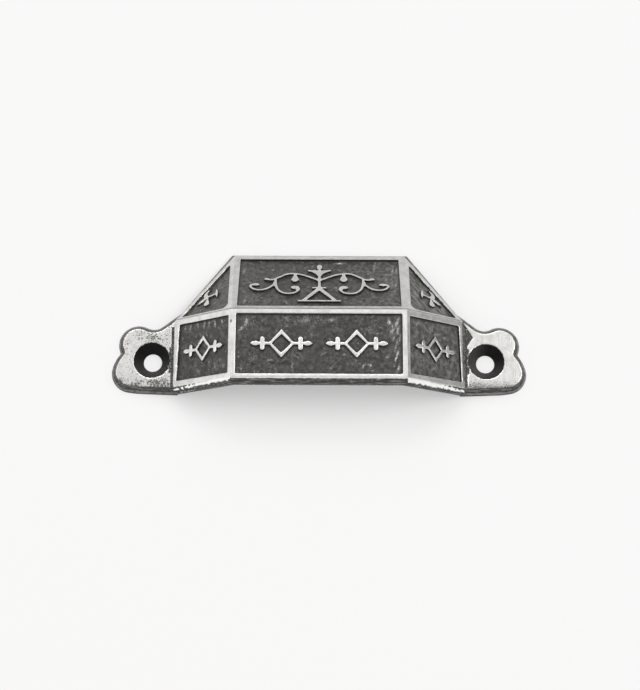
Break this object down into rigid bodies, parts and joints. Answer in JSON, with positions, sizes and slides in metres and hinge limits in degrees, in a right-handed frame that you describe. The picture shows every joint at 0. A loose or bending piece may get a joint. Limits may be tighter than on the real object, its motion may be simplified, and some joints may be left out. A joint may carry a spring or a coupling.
{
  "type": "drawer pull",
  "caption": "Faceted hood-shaped drawer pull in one casting, with sunk ornamental panels, an open finger space below and a countersunk screw ear at each end.",
  "frame": {"origin": "on the flat back face, midway between the two screw holes", "axes": "+X along the pull from hole to hole, +Y away from the finger opening, +Z out of the drawer front"},
  "size_m": [0.1044, 0.0378, 0.0165],
  "materials": {
    "cast_iron": "dark patina on a rough cast ground, with rails, ornament and ear faces ground bright"
  },
  "bodies": {
    "root": {"drawer_pull": "cast_iron"}
  },
  "joints": []
}
